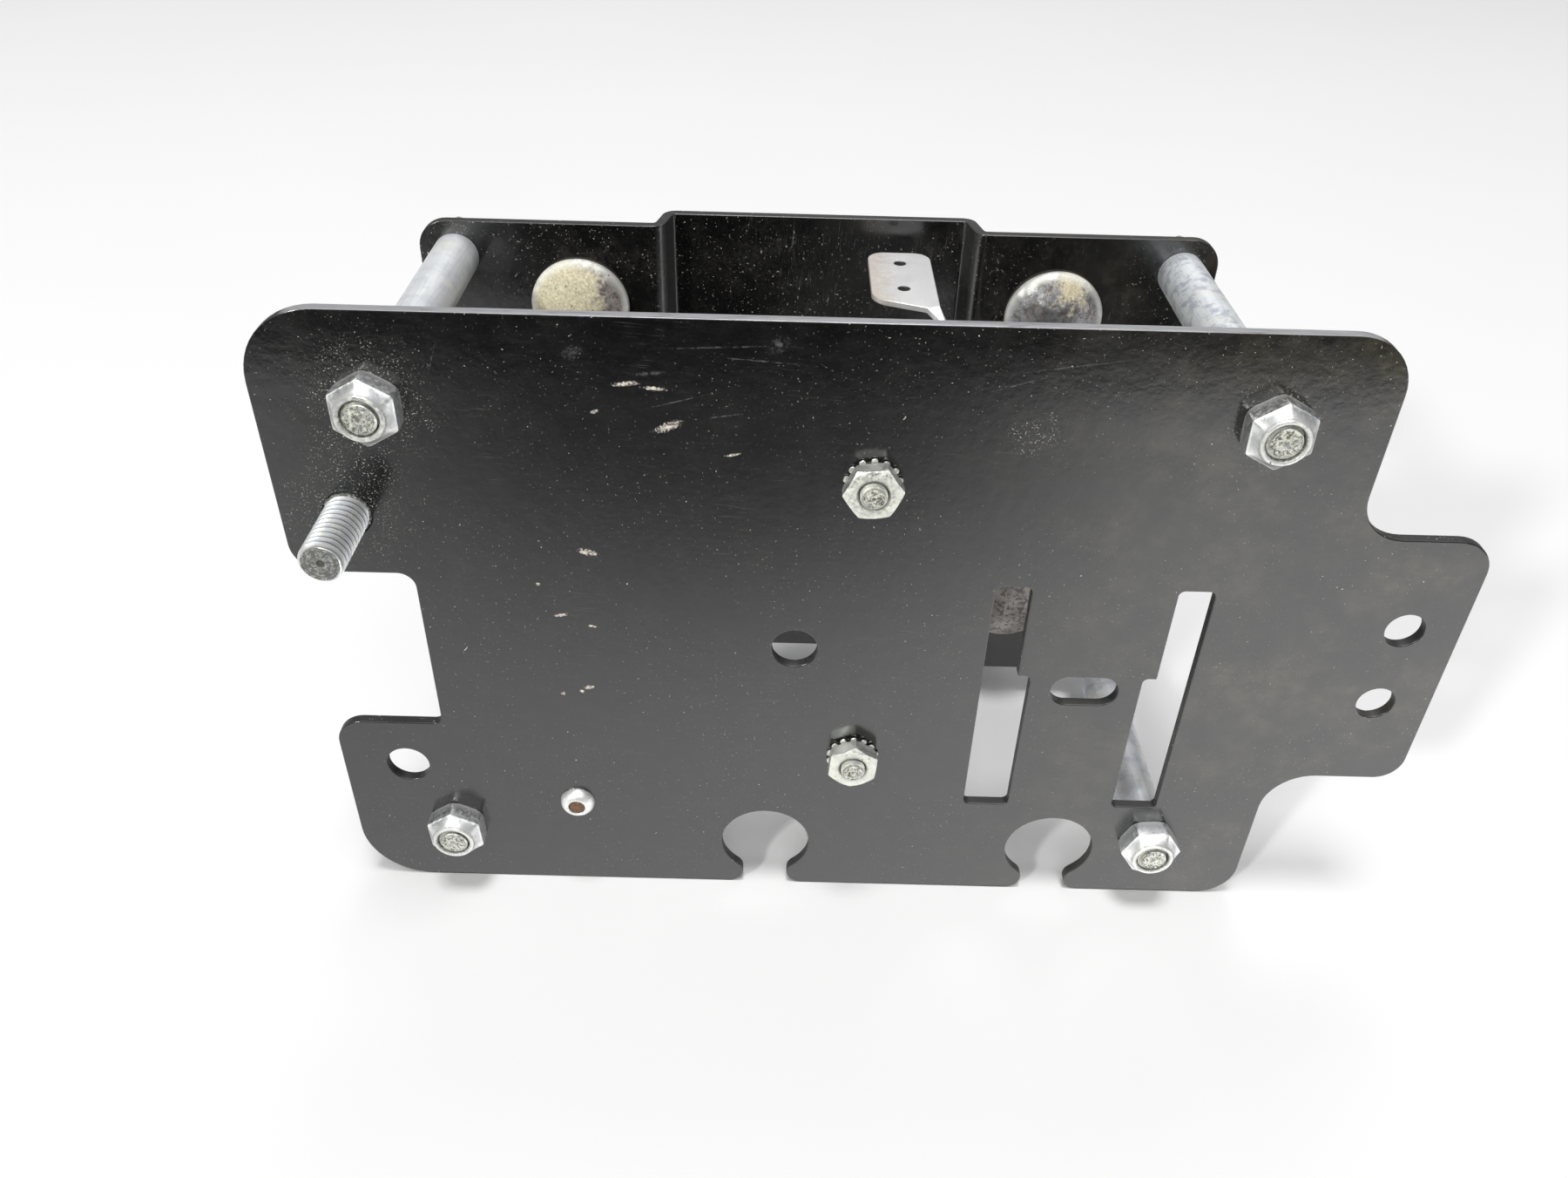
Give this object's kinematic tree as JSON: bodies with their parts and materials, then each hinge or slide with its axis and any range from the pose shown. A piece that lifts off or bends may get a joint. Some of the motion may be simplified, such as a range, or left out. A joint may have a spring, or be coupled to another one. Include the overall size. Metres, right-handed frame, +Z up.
{
  "type": "two-plate equipment mounting bracket",
  "caption": "Black painted steel bracket: a slotted front plate held off a joggled rear plate by zinc spacers, through bolts and lock nuts.",
  "frame": {"origin": "centre of the centre hole, on the front face of the front plate", "axes": "+X to the right of the front plate as seen from its front, +Y from the front plate to the rear bracket, +Z up the plate"},
  "size_m": [0.2186, 0.1067, 0.135],
  "materials": {
    "black_paint": "semi-gloss black paint, dusty, chipped",
    "spacer_zinc": "dull bluish zinc plate",
    "zinc_plate": "bright zinc plate with pale dirt",
    "corroded_zinc": "zinc with tan and white corrosion",
    "pale_clip": "pale satin plate, slightly stained",
    "rivet_aluminium": "bright aluminium",
    "mandrel_steel": "brown surface rust"
  },
  "bodies": {
    "root": {"front_plate": "black_paint", "rear_bracket": "black_paint", "spacer_top_left": "spacer_zinc", "spacer_top_right": "spacer_zinc", "spacer_bottom_left": "spacer_zinc", "spacer_bottom_right": "spacer_zinc", "through_bolt_top_left": "zinc_plate", "through_bolt_top_right": "zinc_plate", "through_bolt_bottom_left": "zinc_plate", "through_bolt_bottom_right": "zinc_plate", "lock_nut_top_left": "zinc_plate", "lock_nut_top_right": "zinc_plate", "lock_nut_bottom_left": "zinc_plate", "lock_nut_bottom_right": "zinc_plate", "carriage_bolt_top_left": "corroded_zinc", "carriage_bolt_top_right": "corroded_zinc", "carriage_bolt_bottom_left": "corroded_zinc", "carriage_bolt_bottom_right": "corroded_zinc", "side_stud": "zinc_plate", "rivet_body": "rivet_aluminium", "rivet_mandrel": "mandrel_steel", "harness_bracket": "pale_clip", "harness_screw_upper": "zinc_plate", "harness_screw_lower": "zinc_plate", "tooth_washer_upper": "zinc_plate", "tooth_washer_lower": "zinc_plate", "keps_nut_upper": "zinc_plate", "keps_nut_lower": "zinc_plate"}
  },
  "joints": []
}
